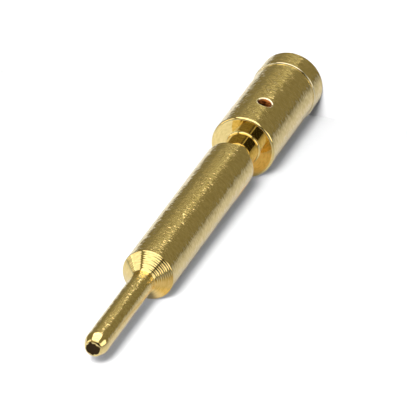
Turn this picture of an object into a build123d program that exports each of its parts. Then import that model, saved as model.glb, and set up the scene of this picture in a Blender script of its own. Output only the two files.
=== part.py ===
from build123d import *
import math
import os

# Crimp contact: one gold-plated pin contact, turned from a single brass bar.
# It stands on the flat rear end of its crimp barrel, which lies in the plane Z = 0,
# with the axis of turning on Z and the mating pin at the top. Millimetres throughout.

# Crimp barrel, which the stripped wire goes into from below
barrel_diameter = 2.80
barrel_length = 6.80
barrel_front_radius = 0.10

# Collar at the open end of the barrel, which stands a little proud of the barrel
collar_step = 0.05
collar_length = 1.15
collar_front_radius = 0.04
collar_rear_radius = 0.07

# Blind crimp bore, drilled from the rear end, with a web left between its point and the neck
bore_diameter = 1.60
bore_web = 0.72
bore_point_angle = 118.0
bore_mouth_chamfer = 0.18

# Inspection hole, drilled across one wall of the barrel just short of the bore's shoulder,
# so that the ends of the wire's strands show in it
hole_diameter = 0.60
hole_setback = 0.70
hole_rim_radius = 0.07

# Neck between the barrel and the body, where the holder's clip takes hold
neck_diameter = 1.45
neck_length = 1.75
neck_fillet = 0.09

# Guide body
body_diameter = 2.16
body_length = 10.35
body_rear_radius = 0.06
body_front_radius = 0.06

# Conical shoulder from the body down to the pin
shoulder_angle = 45.0
shoulder_root_radius = 0.06

# Mating pin with its tapered nose. The end of the taper is rounded over, and a flat of 0.48 is left.
pin_diameter = 1.00
pin_length = 5.90
nose_length = 0.40
nose_end_diameter = 0.68
nose_shoulder_radius = 0.60
nose_edge_radius = 0.15

# Radii of the turned surfaces
barrel_radius = barrel_diameter / 2
collar_radius = barrel_radius + collar_step
bore_radius = bore_diameter / 2
hole_radius = hole_diameter / 2
neck_radius = neck_diameter / 2
body_radius = body_diameter / 2
pin_radius = pin_diameter / 2
nose_end_radius = nose_end_diameter / 2

# Heights of the turned surfaces above the rear end, added up from the lengths
barrel_top = barrel_length
neck_top = barrel_top + neck_length
body_top = neck_top + body_length
shoulder_top = body_top + (body_radius - pin_radius) / math.tan(math.radians(shoulder_angle))
pin_top = shoulder_top + pin_length
nose_base = pin_top - nose_length
bore_point = barrel_top - bore_web
bore_shoulder = bore_point - bore_radius / math.tan(math.radians(bore_point_angle / 2))
hole_height = bore_shoulder - hole_setback


def round_corner(section, corner, radius):
    """Round the corner of the half section that lies at (radius from the axis, height)."""
    return fillet(section.vertices().sort_by_distance(corner)[0], radius)


def bevel_corner(section, corner, length):
    """Bevel the corner of the half section that lies at (radius from the axis, height)."""
    return chamfer(section.vertices().sort_by_distance(corner)[0], length)


def half_section():
    """Half section of the turning, drawn as radius against height, with the blind bore open."""
    outline = Polyline(
        (0, bore_point),
        (bore_radius, bore_shoulder),
        (bore_radius, 0),
        (collar_radius, 0),
        (collar_radius, collar_length),
        (barrel_radius, collar_length),
        (barrel_radius, barrel_top),
        (neck_radius, barrel_top),
        (neck_radius, neck_top),
        (body_radius, neck_top),
        (body_radius, body_top),
        (pin_radius, shoulder_top),
        (pin_radius, nose_base),
        (nose_end_radius, pin_top),
        (0, pin_top),
        close=True,
    )
    section = make_face(outline)
    section = bevel_corner(section, (bore_radius, 0), bore_mouth_chamfer)
    section = round_corner(section, (collar_radius, 0), collar_rear_radius)
    section = round_corner(section, (collar_radius, collar_length), collar_front_radius)
    section = round_corner(section, (barrel_radius, barrel_top), barrel_front_radius)
    section = round_corner(section, (neck_radius, barrel_top), neck_fillet)
    section = round_corner(section, (neck_radius, neck_top), neck_fillet)
    section = round_corner(section, (body_radius, neck_top), body_rear_radius)
    section = round_corner(section, (body_radius, body_top), body_front_radius)
    section = round_corner(section, (pin_radius, shoulder_top), shoulder_root_radius)
    section = round_corner(section, (pin_radius, nose_base), nose_shoulder_radius)
    section = round_corner(section, (nose_end_radius, pin_top), nose_edge_radius)
    return section


def inspection_hole(turning):
    """Drill the hole across the barrel's front wall only and round its curved outer rim."""
    drill = Cylinder(hole_radius, barrel_diameter, align=(Align.CENTER, Align.CENTER, Align.MIN))
    drilled = turning - Pos(0, 0, hole_height) * Rot(90, 0, 0) * drill
    rim_point = (0, -barrel_radius, hole_height + hole_radius)
    rim = drilled.edges().sort_by_distance(rim_point)[0]
    return fillet(rim, hole_rim_radius)


def crimp_contact():
    """The whole contact: the turned bar with its drilled inspection hole."""
    turning = revolve(Plane.XZ * half_section(), Axis.Z)
    return inspection_hole(turning)


os.makedirs("parts", exist_ok=True)
export_step(crimp_contact(), "parts/crimp_contact.step")
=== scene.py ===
import math
import bmesh
import bpy
from mathutils import Matrix, Quaternion, Vector


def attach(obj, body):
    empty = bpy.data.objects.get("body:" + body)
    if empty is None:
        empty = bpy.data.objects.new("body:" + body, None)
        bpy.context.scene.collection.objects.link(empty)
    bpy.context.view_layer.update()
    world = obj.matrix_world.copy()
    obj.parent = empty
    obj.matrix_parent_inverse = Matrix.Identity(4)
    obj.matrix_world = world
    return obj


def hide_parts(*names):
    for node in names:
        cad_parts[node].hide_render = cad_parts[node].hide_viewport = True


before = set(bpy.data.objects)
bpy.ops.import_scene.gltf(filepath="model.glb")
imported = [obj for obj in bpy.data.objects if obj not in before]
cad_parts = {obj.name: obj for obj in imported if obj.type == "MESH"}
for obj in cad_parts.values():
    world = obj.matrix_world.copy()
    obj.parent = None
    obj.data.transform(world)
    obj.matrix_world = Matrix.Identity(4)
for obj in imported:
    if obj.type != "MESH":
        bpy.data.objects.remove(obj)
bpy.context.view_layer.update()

# Turned contact. One brass bar, turned on a lathe from the collar of the crimp barrel to the
# nose of the mating pin, and drilled from its rear end for the wire. The mesh is modelled in
# millimetres with its axis on Z and its rear face at height zero, and is made metres at the end.
millimetre = 0.001
barrel_radius = 1.40
barrel_length = 6.80
barrel_rounding = 0.10
collar_radius = 1.45
collar_length = 1.15
collar_front_rounding = 0.04
collar_rear_rounding = 0.07
bore_radius = 0.80
bore_web = 0.72
bore_point_angle = 118.0
bore_bevel = 0.18
neck_radius = 0.725
neck_length = 1.75
neck_fillet = 0.09
body_radius = 1.08
body_length = 10.35
body_rear_rounding = 0.06
body_front_rounding = 0.06
pin_radius = 0.50
pin_length = 5.90
shoulder_fillet = 0.06
nose_length = 0.40
nose_end_radius = 0.34
nose_rounding = 0.60
nose_edge = 0.15

# Heights above the rear face. The shoulder is a cone of 45 degrees.
barrel_top = barrel_length
neck_top = barrel_top + neck_length
body_top = neck_top + body_length
shoulder_top = body_top + body_radius - pin_radius
pin_top = shoulder_top + pin_length
nose_base = pin_top - nose_length
bore_point = barrel_top - bore_web
bore_shoulder = bore_point - bore_radius / math.tan(math.radians(bore_point_angle / 2))


def corner(radius, height, cut=0.0, steps=1):
    """One corner of the half section: its place, the length cut off beside it, and its steps."""
    return radius, height, cut, steps


def tangent_length(rounding, turn):
    """Length that a rounding takes off each side of a corner that turns by so many degrees."""
    return rounding * math.tan(math.radians(turn / 2))


nose_turn = math.degrees(math.atan2(pin_radius - nose_end_radius, nose_length))

# The tool has left eight shallow uneven rings on the conical shoulder, each of its own width
# and depth. Widths are measured along the radius, and depths square to the cone.
shoulder_land = 0.03
ring_sizes = (
    (0.060, 0.0040), (0.072, 0.0062), (0.058, 0.0036), (0.070, 0.0058),
    (0.062, 0.0046), (0.074, 0.0066), (0.056, 0.0036), (0.068, 0.0052),
)
ring_steps = 6
shoulder_rings = []
way_down = shoulder_land
for ring_width, ring_depth in ring_sizes:
    for step in range(ring_steps):
        phase = step / ring_steps
        dip = ring_depth * (1 - (2 * phase - 1) ** 2) * math.sqrt(0.5)
        way = way_down + ring_width * phase
        shoulder_rings.append(corner(body_radius - way - dip, body_top + way - dip))
    way_down += ring_width
shoulder_rings.append(corner(body_radius - way_down, body_top + way_down))
outline = [
    corner(0, bore_point),
    corner(bore_radius, bore_shoulder),
    corner(bore_radius, 0, bore_bevel),
    corner(collar_radius, 0, collar_rear_rounding, 5),
    corner(collar_radius, collar_length, collar_front_rounding, 5),
    corner(barrel_radius, collar_length),
    corner(barrel_radius, barrel_top, barrel_rounding, 8),
    corner(neck_radius, barrel_top, neck_fillet, 5),
    corner(neck_radius, neck_top, neck_fillet, 5),
    corner(body_radius, neck_top, body_rear_rounding, 6),
    corner(body_radius, body_top, tangent_length(body_front_rounding, 45), 4),
    *shoulder_rings,
    corner(pin_radius, shoulder_top, tangent_length(shoulder_fillet, 45), 4),
    corner(pin_radius, nose_base, tangent_length(nose_rounding, nose_turn), 8),
    corner(nose_end_radius, pin_top, tangent_length(nose_edge, 90 - nose_turn), 8),
    corner(0, pin_top),
]
seam_gap = 0.0001


def turned(sections, around):
    """Spin a half section, given as corners, once round Z into a closed skin."""
    skin = bmesh.new()
    points = [skin.verts.new((radius, 0, height)) for radius, height, cut, steps in sections]
    for lower, upper in zip(points, points[1:]):
        skin.edges.new((lower, upper))
    for point, (radius, height, cut, steps) in zip(points, sections):
        if cut:
            bmesh.ops.bevel(
                skin, geom=[point], offset=cut, segments=steps, profile=0.5,
                affect='VERTICES', material=-1,
            )
    bmesh.ops.spin(
        skin, geom=skin.verts[:] + skin.edges[:], cent=(0, 0, 0), axis=(0, 0, 1),
        angle=math.tau, steps=around, use_merge=True,
    )
    bmesh.ops.remove_doubles(skin, verts=skin.verts[:], dist=seam_gap)
    bmesh.ops.recalc_face_normals(skin, faces=skin.faces[:])
    return skin


def as_object(skin, name):
    """Put a finished skin into an object of its own."""
    mesh = bpy.data.meshes.new(name)
    skin.to_mesh(mesh)
    skin.free()
    thing = bpy.data.objects.new(name, mesh)
    bpy.context.scene.collection.objects.link(thing)
    return thing


facets_around = 192
contact = as_object(turned(outline, facets_around), "turned_contact")

# Inspection hole. It is drilled through the barrel's front wall, and its rounded rim follows
# the barrel's curve all the way round. The drill's flare ends a hair above the barrel.
hole_radius = 0.30
hole_setback = 0.70
hole_height = bore_shoulder - hole_setback
hole_rounding = 0.07
hair = 0.0006
flare_radius = hole_radius + hole_rounding * 1.5
drill_outline = [
    corner(0, 0),
    corner(hole_radius, 0),
    corner(hole_radius, barrel_radius + hair, hole_rounding, 8),
    corner(flare_radius, barrel_radius + hair),
    corner(flare_radius, barrel_radius + hole_rounding),
    corner(0, barrel_radius + hole_rounding),
]
drill_facets = 96
drill_skin = turned(drill_outline, drill_facets)
for point in drill_skin.verts:
    sag = barrel_radius - math.sqrt(barrel_radius ** 2 - point.co.x ** 2)
    point.co.z -= sag * min(1, point.co.z / barrel_radius * 2)
lay_drill = Matrix.Rotation(math.radians(90), 4, 'X')
lift_drill = Matrix.Translation((0, 0, hole_height))
bmesh.ops.transform(drill_skin, matrix=lift_drill @ lay_drill, verts=drill_skin.verts[:])
drill = as_object(drill_skin, "drill")
drilling = contact.modifiers.new("drilling", 'BOOLEAN')
drilling.operation = 'DIFFERENCE'
drilling.solver = 'EXACT'
drilling.object = drill

# Faces meet sharply at the bevels, and smoothly along the roundings and round the turning.
sharp_angle = math.radians(25)
shading = contact.modifiers.new("shading", 'WEIGHTED_NORMAL')
shading.keep_sharp = True
for mesh in (contact.data, drill.data):
    for face in mesh.polygons:
        face.use_smooth = True
    mesh.set_sharp_from_angle(angle=sharp_angle)
drilled_contact = contact.evaluated_get(bpy.context.evaluated_depsgraph_get())
finished = bpy.data.meshes.new_from_object(drilled_contact)
contact.modifiers.clear()
contact.data = finished
bpy.data.objects.remove(drill)
finished.transform(Matrix.Scale(millimetre, 4))

# Turning marks, as a node group. The lathe leaves fine broken rings round every turned
# surface, which tilt it a little forwards and backwards. The rings follow the height on the
# cylinders and the radius on the faces.
number = 'NodeSocketFloat'
vector = 'NodeSocketVector'


def node_group(name, takes, gives):
    """Start a node group, with the name and the kind of each input and each output."""
    group = bpy.data.node_groups.new(name, 'ShaderNodeTree')
    for socket, kind in takes.items():
        group.interface.new_socket(socket, in_out='INPUT', socket_type=kind)
    for socket, kind in gives.items():
        group.interface.new_socket(socket, in_out='OUTPUT', socket_type=kind)
    return group


def fill(tree, node, inputs):
    """Set inputs of a node, by name or number, to values, or join them to other nodes."""
    for name, value in inputs.items():
        if isinstance(value, bpy.types.NodeSocket):
            tree.links.new(value, node.inputs[name])
        else:
            node.inputs[name].default_value = value


def add(tree, kind, place, inputs=None, **settings):
    """Add one shader node at a place in the editor, with its settings and its inputs."""
    node = tree.nodes.new(kind)
    node.location = place
    for name, value in settings.items():
        setattr(node, name, value)
    fill(tree, node, inputs or {})
    return node


marks = node_group(
    "turning_marks",
    {
        "Position": vector, "Normal": vector,
        "Ring pitch": number, "Ring length": number, "Tilt": vector,
    },
    {"Marks": number, "Normal": vector},
)
inside = add(marks, 'NodeGroupInput', (-900, 0))
split = add(marks, 'ShaderNodeSeparateXYZ', (-700, 100), {0: inside.outputs["Position"]})
flat = add(marks, 'ShaderNodeCombineXYZ', (-520, 220), {
    "X": split.outputs["X"],
    "Y": split.outputs["Y"],
})
radius = add(marks, 'ShaderNodeVectorMath', (-340, 220), {
    0: flat.outputs[0],
}, operation='LENGTH')
along = add(marks, 'ShaderNodeMath', (-160, 100), {
    0: split.outputs["Z"],
    1: radius.outputs["Value"],
}, operation='SUBTRACT')
across_x = add(marks, 'ShaderNodeMath', (-160, -60), {
    0: split.outputs["X"],
    1: inside.outputs["Ring length"],
}, operation='DIVIDE')
across_y = add(marks, 'ShaderNodeMath', (-160, -220), {
    0: split.outputs["Y"],
    1: inside.outputs["Ring length"],
}, operation='DIVIDE')
rings = add(marks, 'ShaderNodeMath', (20, 100), {
    0: along.outputs[0],
    1: inside.outputs["Ring pitch"],
}, operation='DIVIDE')
wound = add(marks, 'ShaderNodeCombineXYZ', (200, 0), {
    "X": across_x.outputs[0],
    "Y": across_y.outputs[0],
    "Z": rings.outputs[0],
})
grain = add(marks, 'ShaderNodeTexNoise', (380, 0), {
    "Vector": wound.outputs[0],
    "Scale": 1.0,
    "Detail": 2.0,
    "Roughness": 0.6,
})
centred = add(marks, 'ShaderNodeVectorMath', (560, -100), {
    0: grain.outputs["Color"],
    1: (0.5, 0.5, 0.5),
}, operation='SUBTRACT')
scaled = add(marks, 'ShaderNodeVectorMath', (740, -100), {
    0: centred.outputs[0],
    1: inside.outputs["Tilt"],
}, operation='MULTIPLY')
tilted = add(marks, 'ShaderNodeVectorMath', (920, -100), {
    0: inside.outputs["Normal"],
    1: scaled.outputs[0],
}, operation='ADD')
unit = add(marks, 'ShaderNodeVectorMath', (1100, -100), {
    0: tilted.outputs[0],
}, operation='NORMALIZE')
add(marks, 'NodeGroupOutput', (1300, 0), {
    "Marks": grain.outputs["Fac"],
    "Normal": unit.outputs[0],
})

# Bright zone, as a node group. It is one on the faces, the cones, the roundings and the neck,
# which the tool has burnished, and zero on the long cylinders. The rim of the inspection hole
# and the collar's front edge are put out on their own too, for the painted highlight on them.
plain_slope = 0.05
bright_slope = 0.25
neck_middle = (barrel_top + neck_top) / 2
rim_reach = hole_radius + hole_rounding * 1.3
edge_middle = collar_length - collar_front_rounding / 2
edge_reach = collar_front_rounding / 2 + 0.002
bright = node_group(
    "bright_zone",
    {"Position": vector, "Normal": vector},
    {"Zone": number, "Edges": number},
)
inside = add(bright, 'NodeGroupInput', (-900, 0))
facing = add(bright, 'ShaderNodeSeparateXYZ', (-700, 200), {0: inside.outputs["Normal"]})
slope = add(bright, 'ShaderNodeMath', (-520, 200), {
    0: facing.outputs["Z"],
}, operation='ABSOLUTE')
sloping = add(bright, 'ShaderNodeMapRange', (-340, 200), {
    "Value": slope.outputs[0],
    "From Min": plain_slope,
    "From Max": bright_slope,
})
split = add(bright, 'ShaderNodeSeparateXYZ', (-700, -100), {0: inside.outputs["Position"]})
from_neck = add(bright, 'ShaderNodeMath', (-520, -100), {
    0: split.outputs["Z"],
    1: neck_middle * millimetre,
}, operation='SUBTRACT')
off_neck = add(bright, 'ShaderNodeMath', (-340, -100), {
    0: from_neck.outputs[0],
}, operation='ABSOLUTE')
at_neck = add(bright, 'ShaderNodeMath', (-160, -100), {
    0: off_neck.outputs[0],
    1: neck_length / 2 * millimetre,
}, operation='LESS_THAN')
from_hole = add(bright, 'ShaderNodeVectorMath', (-520, -350), {
    0: inside.outputs["Position"],
    1: (0, -barrel_radius * millimetre, hole_height * millimetre),
}, operation='SUBTRACT')
off_hole = add(bright, 'ShaderNodeVectorMath', (-340, -350), {
    0: from_hole.outputs[0],
}, operation='LENGTH')
at_rim = add(bright, 'ShaderNodeMath', (-160, -350), {
    0: off_hole.outputs["Value"],
    1: rim_reach * millimetre,
}, operation='LESS_THAN')
from_edge = add(bright, 'ShaderNodeMath', (-520, -550), {
    0: split.outputs["Z"],
    1: edge_middle * millimetre,
}, operation='SUBTRACT')
off_edge = add(bright, 'ShaderNodeMath', (-340, -550), {
    0: from_edge.outputs[0],
}, operation='ABSOLUTE')
at_edge = add(bright, 'ShaderNodeMath', (-160, -550), {
    0: off_edge.outputs[0],
    1: edge_reach * millimetre,
}, operation='LESS_THAN')
edges = add(bright, 'ShaderNodeMath', (20, -450), {
    0: at_rim.outputs[0],
    1: at_edge.outputs[0],
}, operation='MAXIMUM')
edges_or_neck = add(bright, 'ShaderNodeMath', (200, -200), {
    0: at_neck.outputs[0],
    1: edges.outputs[0],
}, operation='MAXIMUM')
burnishing = add(bright, 'ShaderNodeMath', (380, 0), {
    0: sloping.outputs["Result"],
    1: edges_or_neck.outputs[0],
}, operation='MAXIMUM')
add(bright, 'NodeGroupOutput', (600, 0), {
    "Zone": burnishing.outputs[0],
    "Edges": edges.outputs[0],
})

# Drilled zone, as a node group. It is one inside the bore and the inspection hole, behind the
# bore's bevel and a little under the barrel's skin.
skin_depth = 0.02
full_depth = 0.04
web_spare = 0.1
drilled = node_group("drilled_zone", {"Position": vector}, {"Zone": number})
inside = add(drilled, 'NodeGroupInput', (-900, 0))
split = add(drilled, 'ShaderNodeSeparateXYZ', (-700, 0), {0: inside.outputs["Position"]})
flat = add(drilled, 'ShaderNodeCombineXYZ', (-520, 100), {
    "X": split.outputs["X"],
    "Y": split.outputs["Y"],
})
radius = add(drilled, 'ShaderNodeVectorMath', (-340, 100), {
    0: flat.outputs[0],
}, operation='LENGTH')
under_skin = add(drilled, 'ShaderNodeMapRange', (-160, 100), {
    "Value": radius.outputs["Value"],
    "From Min": (barrel_radius - skin_depth) * millimetre,
    "From Max": (barrel_radius - full_depth) * millimetre,
})
under_web = add(drilled, 'ShaderNodeMath', (-340, -100), {
    0: split.outputs["Z"],
    1: (bore_point + web_spare) * millimetre,
}, operation='LESS_THAN')
over_rear = add(drilled, 'ShaderNodeMath', (-340, -260), {
    0: split.outputs["Z"],
    1: bore_bevel * millimetre,
}, operation='GREATER_THAN')
between = add(drilled, 'ShaderNodeMath', (-160, -160), {
    0: under_web.outputs[0],
    1: over_rear.outputs[0],
}, operation='MULTIPLY')
both = add(drilled, 'ShaderNodeMath', (100, 0), {
    0: under_skin.outputs["Result"],
    1: between.outputs[0],
}, operation='MULTIPLY')
add(drilled, 'NodeGroupOutput', (600, 0), {"Zone": both.outputs[0]})

# Gold plating over the whole contact, satin on the cylinders and bright elsewhere. The rim of
# the inspection hole and the collar's front edge are painted paler gold as a highlight. The
# drilled holes are painted dark brown, partly their own brown and partly painted shade in the
# recess. The flat on the nose is dark brown and rough. Lengths are metres.
deep_gold = (0.77, 0.59, 0.225, 1)
light_gold = (0.95, 0.755, 0.34, 1)
# Painted highlight: paler gold on the hole's rim and the collar's front edge.
highlight_gold = (0.98, 0.90, 0.66, 1)
# Painted shade in the drilled holes, which is partly their own brown.
dark_hole_shade = (0.07, 0.014, 0.003, 1)
warm_hole_shade = (0.52, 0.17, 0.035, 1)
nose_flat_brown = (0.045, 0.028, 0.013, 1)
satin_tilt = (0.07, 0.07, 0.57)
bright_tilt = (0.02, 0.02, 0.03)
satin_roughness = 0.175
bright_roughness = 0.05
drilled_roughness = 0.5
parted_roughness = 0.5
drilled_metallic = 0.3
edge_highlight_strength = 0.75
ring_pitch = 0.00009
body_ring_length = 0.00021
pin_ring_length = 0.00012
parted_radius = 0.00025
parted_edge = 0.00003
parted_raggedness = 0.00022


def ramp(tree, place, stops, value):
    """Add a colour ramp, with the position and the colour of each stop."""
    node = add(tree, 'ShaderNodeValToRGB', place, {"Fac": value})
    elements = node.color_ramp.elements
    while len(elements) < len(stops):
        elements.new(0.5)
    for stop, (position, colour) in zip(elements, stops):
        stop.position = position
        stop.color = colour
    return node


plating = bpy.data.materials.new("gold_plating")
plating.use_nodes = True
tree = plating.node_tree
surface = add(tree, 'ShaderNodeTexCoord', (-1900, 0))
burnished = add(tree, 'ShaderNodeGroup', (-1650, -500), {
    "Position": surface.outputs["Object"],
    "Normal": surface.outputs["Normal"],
}, node_tree=bright)
bored = add(tree, 'ShaderNodeGroup', (-1650, 550), {
    "Position": surface.outputs["Object"],
}, node_tree=drilled)
tilt = add(tree, 'ShaderNodeMix', (-1400, -500), {
    "Factor": burnished.outputs["Zone"],
    "A": satin_tilt,
    "B": bright_tilt,
}, data_type='VECTOR')
along_axis = add(tree, 'ShaderNodeSeparateXYZ', (-1650, -750), {0: surface.outputs["Object"]})
ring_length = add(tree, 'ShaderNodeMapRange', (-1400, -750), {
    "Value": along_axis.outputs["Z"],
    "From Min": (shoulder_top - 0.02) * millimetre,
    "From Max": shoulder_top * millimetre,
    "To Min": body_ring_length,
    "To Max": pin_ring_length,
})
turned_marks = add(tree, 'ShaderNodeGroup', (-1200, -300), {
    "Position": surface.outputs["Object"],
    "Normal": surface.outputs["Normal"],
    "Ring pitch": ring_pitch,
    "Ring length": ring_length.outputs["Result"],
    "Tilt": tilt.outputs["Result"],
}, node_tree=marks)
gold_stops = ((0.3, deep_gold), (0.7, light_gold))
golds = ramp(tree, (-950, 150), gold_stops, turned_marks.outputs["Marks"])
# Painted highlight on the hole's rim and the collar's front edge.
painted_edge_highlight = add(tree, 'ShaderNodeMath', (-950, 350), {
    0: burnished.outputs["Edges"],
    1: edge_highlight_strength,
}, operation='MULTIPLY')
highlighted_gold = add(tree, 'ShaderNodeMix', (-650, 250), {
    "Factor": painted_edge_highlight.outputs[0],
    "A": golds.outputs["Color"],
    "B": highlight_gold,
}, data_type='RGBA')
# Painted shade inside the drilled holes, which is partly their own brown.
hole_shade_stops = ((0.42, dark_hole_shade), (0.60, warm_hole_shade))
hole_shades = ramp(tree, (-950, 550), hole_shade_stops, turned_marks.outputs["Marks"])
hole_shaded = add(tree, 'ShaderNodeMix', (-450, 350), {
    "Factor": bored.outputs["Zone"],
    "A": highlighted_gold.outputs["Result"],
    "B": hole_shades.outputs["Color"],
}, data_type='RGBA')
from_nose = add(tree, 'ShaderNodeVectorMath', (-1200, 850), {
    0: surface.outputs["Object"],
    1: (0, 0, pin_top * millimetre),
}, operation='DISTANCE')
ragged = add(tree, 'ShaderNodeTexNoise', (-1400, 1050), {
    "Vector": surface.outputs["Object"],
    "Scale": 6000.0,
    "Detail": 1.0,
})
uneven = add(tree, 'ShaderNodeMath', (-1200, 1050), {
    0: ragged.outputs["Fac"],
    1: parted_raggedness,
    2: -parted_raggedness / 2,
}, operation='MULTIPLY_ADD')
raised = add(tree, 'ShaderNodeMath', (-1000, 850), {
    0: from_nose.outputs["Value"],
    1: uneven.outputs[0],
}, operation='ADD')
parted = add(tree, 'ShaderNodeMapRange', (-800, 850), {
    "Value": raised.outputs[0],
    "From Min": parted_radius,
    "From Max": parted_radius + parted_edge,
    "To Min": 1.0,
    "To Max": 0.0,
})
dulled = add(tree, 'ShaderNodeMix', (-250, 350), {
    "Factor": parted.outputs["Result"],
    "A": hole_shaded.outputs["Result"],
    "B": nose_flat_brown,
}, data_type='RGBA')
gloss = add(tree, 'ShaderNodeMapRange', (-950, -50), {
    "Value": burnished.outputs["Zone"],
    "To Min": satin_roughness,
    "To Max": bright_roughness,
})
rougher = add(tree, 'ShaderNodeMix', (-450, -50), {
    "Factor": bored.outputs["Zone"],
    "A": gloss.outputs["Result"],
    "B": drilled_roughness,
}, data_type='FLOAT')
roughest = add(tree, 'ShaderNodeMix', (-250, -50), {
    "Factor": parted.outputs["Result"],
    "A": rougher.outputs["Result"],
    "B": parted_roughness,
}, data_type='FLOAT')
metal = add(tree, 'ShaderNodeMapRange', (-450, 650), {
    "Value": bored.outputs["Zone"],
    "To Min": 1.0,
    "To Max": drilled_metallic,
})
fill(tree, tree.nodes["Principled BSDF"], {
    "Base Color": dulled.outputs["Result"],
    "Metallic": metal.outputs["Result"],
    "Roughness": roughest.outputs["Result"],
    "Normal": turned_marks.outputs["Normal"],
})
finished.materials.clear()
finished.materials.append(plating)
contact.visible_diffuse = False
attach(contact, "root")
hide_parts("crimp_contact")

# Floor and backdrop. The floor carries the contact's rear end. The backdrop is a white board
# that just touches the collar and the body's front edge, on the side away from the camera, and
# it takes the contact's shadow. It shows from its front only. Lengths are metres.
board_out = Vector((0.2764, -0.9610, 0))
board_side = board_out.cross(Vector((0, 0, 1)))
stage_size = 0.4
board_white = (0.92, 0.92, 0.92, 1)
board_lift = 0.03
stage_white = bpy.data.materials.new("stage_white")
stage_white.use_nodes = True
tree = stage_white.node_tree
rays = add(tree, 'ShaderNodeLightPath', (-700, 300))
lift = add(tree, 'ShaderNodeMath', (-300, 300), {
    0: rays.outputs["Is Camera Ray"],
    1: board_lift,
}, operation='MULTIPLY')

# Reflections see the board in painted shades that fall off beside the contact, for the light and
# shadow there. Places beside it are drawn together into the ramp's range, from its left at zero
# to its right at one.
half_way = 0.005
reflected_white = 0.78
painted_board_shades = (
    (0.0, 0.45), (0.12, 0.85), (0.18, 1.05), (0.26, 1.05), (0.5, 1.0),
    (0.627, 0.84), (0.716, 0.65), (0.786, 0.50), (0.934, 0.27),
)
spot = add(tree, 'ShaderNodeTexCoord', (-1500, -100))
sideways = add(tree, 'ShaderNodeVectorMath', (-1300, -100), {
    0: spot.outputs["Object"],
    1: board_side,
}, operation='DOT_PRODUCT')
stretch = add(tree, 'ShaderNodeMath', (-1100, -250), {
    0: sideways.outputs["Value"],
}, operation='ABSOLUTE')
nearness = add(tree, 'ShaderNodeMath', (-1100, -400), {
    0: stretch.outputs[0],
    1: half_way,
}, operation='ADD')
squeezed = add(tree, 'ShaderNodeMath', (-900, -100), {
    0: sideways.outputs["Value"],
    1: nearness.outputs[0],
}, operation='DIVIDE')
beside = add(tree, 'ShaderNodeMath', (-750, -100), {
    0: squeezed.outputs[0],
    1: 0.5,
    2: 0.5,
}, operation='MULTIPLY_ADD')
# Painted shades of the board, seen only in reflections.
painted_greys = [(position, (*[shade * reflected_white] * 3, 1)) for position, shade in painted_board_shades]
painted_falloff = ramp(tree, (-600, -100), painted_greys, beside.outputs[0])

# In front of the shoulder the board is painted with the golden light that the gold throws on it.
# Only reflections show this painted light, in a band that slants a little.
band_slant = -0.28
band_height = 0.0190
band_reach = 0.0004
band_edge = 0.0005
painted_glow_tints = (
    (0.54, (1.0, 1.0, 1.0)), (0.577, (0.78, 0.66, 0.40)), (0.628, (0.92, 0.79, 0.58)),
    (0.662, (0.95, 0.80, 0.56)), (0.711, (0.78, 0.62, 0.32)), (0.79, (0.52, 0.38, 0.18)),
)
height = add(tree, 'ShaderNodeSeparateXYZ', (-1300, -600), {0: spot.outputs["Object"]})
slanting = add(tree, 'ShaderNodeMath', (-1200, -750), {
    0: sideways.outputs["Value"],
    1: band_slant,
}, operation='MULTIPLY')
slanted = add(tree, 'ShaderNodeMath', (-1050, -600), {
    0: height.outputs["Z"],
    1: slanting.outputs[0],
}, operation='ADD')
from_band = add(tree, 'ShaderNodeMath', (-900, -600), {
    0: slanted.outputs[0],
    1: band_height,
}, operation='SUBTRACT')
off_band = add(tree, 'ShaderNodeMath', (-750, -600), {
    0: from_band.outputs[0],
}, operation='ABSOLUTE')
in_band = add(tree, 'ShaderNodeMapRange', (-600, -600), {
    "Value": off_band.outputs[0],
    "From Min": band_reach,
    "From Max": band_reach + band_edge,
    "To Min": 1.0,
    "To Max": 0.0,
})
# Painted golden light on the board, seen only in reflections.
painted_golden_tints = [(position, (*tint, 1)) for position, tint in painted_glow_tints]
painted_amber = ramp(tree, (-600, -350), painted_golden_tints, beside.outputs[0])
painted_tint = add(tree, 'ShaderNodeMix', (-300, -350), {
    "Factor": in_band.outputs["Result"],
    "A": painted_falloff.outputs["Color"],
    "B": painted_amber.outputs["Color"],
}, data_type='RGBA', blend_type='MULTIPLY')

# The board's lamps stand towards the pin's tip. In reflections its painted shade is evened out
# along the axis again, lighter towards the rear end and darker towards the tip.
evenness = add(tree, 'ShaderNodeMapRange', (-300, -600), {
    "Value": height.outputs["Z"],
    "From Min": -0.008,
    "From Max": 0.018,
    "To Min": 1.24,
    "To Max": 0.86,
})
evened = add(tree, 'ShaderNodeVectorMath', (-100, -350), {
    0: painted_tint.outputs["Result"],
    "Scale": evenness.outputs["Result"],
}, operation='SCALE')
# Reflections see the painted shades and tints, and the camera sees plain white.
paint = add(tree, 'ShaderNodeMix', (-100, 100), {
    "Factor": rays.outputs["Is Glossy Ray"],
    "A": board_white,
    "B": evened.outputs[0],
}, data_type='RGBA')

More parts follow.
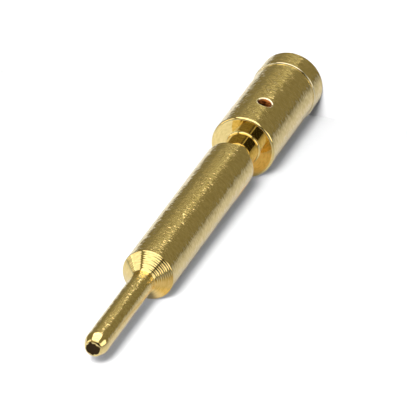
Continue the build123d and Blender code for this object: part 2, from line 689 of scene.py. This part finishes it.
# Under the neck and beside the shoulder, a small patch of painted golden light glows on the
# board, for the light that the faces throw there. Only reflections see it. Each has its centre
# beside the axis and along it, its reach both ways, and its strength.
# Painted golden light, seen only in reflections.
painted_golden_light = (0.47, 0.30, 0.06, 1)
painted_light_patches = (
    ((0.00035, 0.0083, 0), (0.0010, 0.0016, 1), 1.0),
    ((0.00080, 0.0188, 0), (0.0008, 0.0008, 1), 0.45),
)
on_board = add(tree, 'ShaderNodeCombineXYZ', (-1100, -1000), {
    "X": sideways.outputs["Value"],
    "Y": height.outputs["Z"],
})
in_painted_patches = add(tree, 'ShaderNodeMath', (-250, -1000), operation='MAXIMUM')
for row, (centre, reach, strength) in enumerate(painted_light_patches):
    level = -1000 - 200 * row
    from_patch = add(tree, 'ShaderNodeVectorMath', (-900, level), {
        0: on_board.outputs[0],
        1: centre,
    }, operation='SUBTRACT')
    shrunk = add(tree, 'ShaderNodeVectorMath', (-750, level), {
        0: from_patch.outputs[0],
        1: reach,
    }, operation='DIVIDE')
    off_patch = add(tree, 'ShaderNodeVectorMath', (-600, level), {
        0: shrunk.outputs[0],
    }, operation='LENGTH')
    in_patch = add(tree, 'ShaderNodeMapRange', (-450, level), {
        "Value": off_patch.outputs["Value"],
        "From Min": 1.0,
        "From Max": 0.35,
        "To Max": strength,
    }, interpolation_type='SMOOTHSTEP')
    fill(tree, in_painted_patches, {row: in_patch.outputs["Result"]})
reflected = add(tree, 'ShaderNodeMath', (-100, -1000), {
    0: in_painted_patches.outputs[0],
    1: rays.outputs["Is Glossy Ray"],
}, operation='MULTIPLY')
glow = add(tree, 'ShaderNodeMath', (-100, 400), {
    0: lift.outputs[0],
    1: reflected.outputs[0],
}, operation='ADD')
glow_colour = add(tree, 'ShaderNodeMix', (-300, 600), {
    "Factor": rays.outputs["Is Glossy Ray"],
    "A": (1, 1, 1, 1),
    "B": painted_golden_light,
}, data_type='RGBA')
white = tree.nodes["Principled BSDF"]
fill(tree, white, {
    "Base Color": paint.outputs["Result"],
    "Roughness": 0.9,
    "Specular IOR Level": 0.0,
    "Emission Color": glow_colour.outputs["Result"],
    "Emission Strength": glow.outputs[0],
})
back = add(tree, 'ShaderNodeNewGeometry', (0, 500))
clear = add(tree, 'ShaderNodeBsdfTransparent', (0, 650))
sides = add(tree, 'ShaderNodeMixShader', (300, 450), {
    0: back.outputs["Backfacing"],
    1: white.outputs[0],
    2: clear.outputs[0],
})
fill(tree, tree.nodes["Material Output"], {"Surface": sides.outputs[0]})

floor_skin = bmesh.new()
bmesh.ops.create_grid(floor_skin, x_segments=1, y_segments=1, size=stage_size)
floor = as_object(floor_skin, "floor")
floor.data.materials.append(stage_white)
floor.visible_glossy = False
floor.visible_shadow = False
floor.visible_diffuse = False

board_skin = bmesh.new()
bmesh.ops.create_grid(board_skin, x_segments=1, y_segments=1, size=stage_size)
board_lean = math.atan2(collar_radius - body_radius, body_top)
board_normal = board_out * math.cos(board_lean) - Vector((0, 0, 1)) * math.sin(board_lean)
turn_board = board_normal.to_track_quat('Z', 'Y').to_matrix().to_4x4()
touch_collar = Matrix.Translation(board_out * -collar_radius * millimetre)
bmesh.ops.transform(board_skin, matrix=touch_collar @ turn_board, verts=board_skin.verts[:])
board = as_object(board_skin, "backdrop")
board.data.materials.append(stage_white)
board.visible_diffuse = False

# Studio light. Large soft lamps stand round the contact. Each is placed by its angle round the
# axis from the board's normal and its angle towards the rear end, and sized by half its spread
# both ways. Two light the board only, the others show in the metal only: the shadow stays grey.
middle = Vector((0, 0, 0.0125))


def softbox(
    name, around, rearward, half_around, half_rearward, brightness,
    slant=0, away=0.2, on_metal=True,
):
    """A soft lamp turned to the middle of the contact. Angles are in degrees."""
    swing = math.radians(around)
    rise = math.radians(rearward)
    outward = board_side * math.sin(swing) + board_out * math.cos(swing)
    towards = outward * math.cos(rise) - Vector((0, 0, 1)) * math.sin(rise)
    lamp = bpy.data.lights.new(name, 'AREA')
    lamp.shape = 'RECTANGLE'
    lamp.size = 2 * away * math.tan(math.radians(half_around))
    lamp.size_y = 2 * away * math.tan(math.radians(half_rearward))
    lamp.energy = brightness * math.pi * lamp.size * lamp.size_y
    holder = bpy.data.objects.new(name, lamp)
    holder.location = middle + towards * away
    holder.rotation_mode = 'QUATERNION'
    upright = Quaternion((0, 0, 1), math.radians(slant))
    holder.rotation_quaternion = towards.to_track_quat('Z', 'Y') @ upright
    holder.visible_camera = False
    holder.visible_diffuse = not on_metal
    holder.visible_glossy = on_metal
    bpy.context.scene.collection.objects.link(holder)
    return lamp


def fade(lamp, direction, start, end):
    """Let a lamp's strength change evenly along its width, X, or along its height, Y."""
    lamp.use_nodes = True
    tree = lamp.node_tree
    spot = add(tree, 'ShaderNodeTexCoord', (-700, 0))
    spread = add(tree, 'ShaderNodeSeparateXYZ', (-500, 0), {0: spot.outputs["UV"]})
    strength = add(tree, 'ShaderNodeMapRange', (-300, 0), {
        "Value": spread.outputs[direction],
        "To Min": start,
        "To Max": end,
    })
    fill(tree, tree.nodes["Emission"], {"Strength": strength.outputs["Result"]})


overhead = softbox("overhead_softbox", 1, -0.5, 33, 47, 1.0, slant=11)
fade(overhead, "Y", 2.3, 1.0)
softbox("left_softbox", -59, -19, 17, 22, 1.05, slant=-8)
softbox("far_left_softbox", -83, -15, 9, 16, 0.7, slant=-8)
right = softbox("right_softbox", 72, -6, 16, 31, 1.0, slant=-17)
fade(right, "Y", 1.7, 0.65)
softbox("camera_side_softbox", 19, -57, 2.0, 5, 0.5)
softbox("low_softbox", -25, 78, 4.3, 7, 1.1)
softbox("table_softbox", 5, -46, 8, 10, 38.0, on_metal=False)
softbox("wide_softbox", -7, -46, 22, 10, 8.5, on_metal=False)
streak = softbox("rear_softbox", -16, 59.2, 17, 2.4, 0.60, away=1.0)
streak.color = (1.0, 0.98, 0.66)
fade(streak, "X", 1.0, 0.4)

# World. White where the camera sees it. Reflections see a dim plain room, which is darkest on
# the camera's side. The board gets no light from it.
dark_side = (-0.326, -0.338, 0.883)
room_light = 0.24
dark_light = 0.03
world = bpy.data.worlds.new("studio")
world.use_nodes = True
bpy.context.scene.world = world
tree = world.node_tree
rays = add(tree, 'ShaderNodeLightPath', (-700, 200))
looking = add(tree, 'ShaderNodeTexCoord', (-1100, 400))
towards_dark = add(tree, 'ShaderNodeVectorMath', (-900, 400), {
    0: looking.outputs["Generated"],
    1: dark_side,
}, operation='DOT_PRODUCT')
dimmed = add(tree, 'ShaderNodeMapRange', (-700, 450), {
    "Value": towards_dark.outputs["Value"],
    "From Min": 0.86,
    "From Max": 0.93,
    "To Min": room_light,
    "To Max": dark_light,
})
room = add(tree, 'ShaderNodeMix', (-500, 300), {
    "Factor": rays.outputs["Is Glossy Ray"],
    "A": 0.0,
    "B": dimmed.outputs["Result"],
}, data_type='FLOAT')
white_room = add(tree, 'ShaderNodeMix', (-300, 200), {
    "Factor": rays.outputs["Is Camera Ray"],
    "A": room.outputs["Result"],
    "B": 1.0,
}, data_type='FLOAT')
warmth = add(tree, 'ShaderNodeMix', (-300, 0), {
    "Factor": rays.outputs["Is Glossy Ray"],
    "A": (1, 1, 1, 1),
    "B": (1.0, 0.9, 0.55, 1),
}, data_type='RGBA')
fill(tree, tree.nodes["Background"], {
    "Color": warmth.outputs["Result"],
    "Strength": white_room.outputs["Result"],
})

# Camera. It looks down on the pin's tip from far off through a long lens. The focal length is
# in the photograph's pixels, the film's width is in millimetres, and places are in metres.
photo_width = 408
focal_length = 4500
film_width = 36
camera_data = bpy.data.cameras.new("camera")
camera_data.sensor_width = film_width
camera_data.lens = focal_length / photo_width * film_width
camera_data.clip_start = 0.001
camera = bpy.data.objects.new("camera", camera_data)
camera_side = Vector((-0.910699, -0.261947, -0.319391))
camera_back = Vector((-0.148024, -0.514908, 0.844369))
camera_up = camera_back.cross(camera_side)
turn_camera = Matrix((camera_side, camera_up, camera_back)).transposed().to_4x4()
camera_place = Matrix.Translation((-0.0276102, -0.0956495, 0.1690546))
camera.matrix_world = camera_place @ turn_camera
bpy.context.scene.collection.objects.link(camera)
bpy.context.scene.camera = camera
bpy.context.scene.view_settings.view_transform = 'Standard'
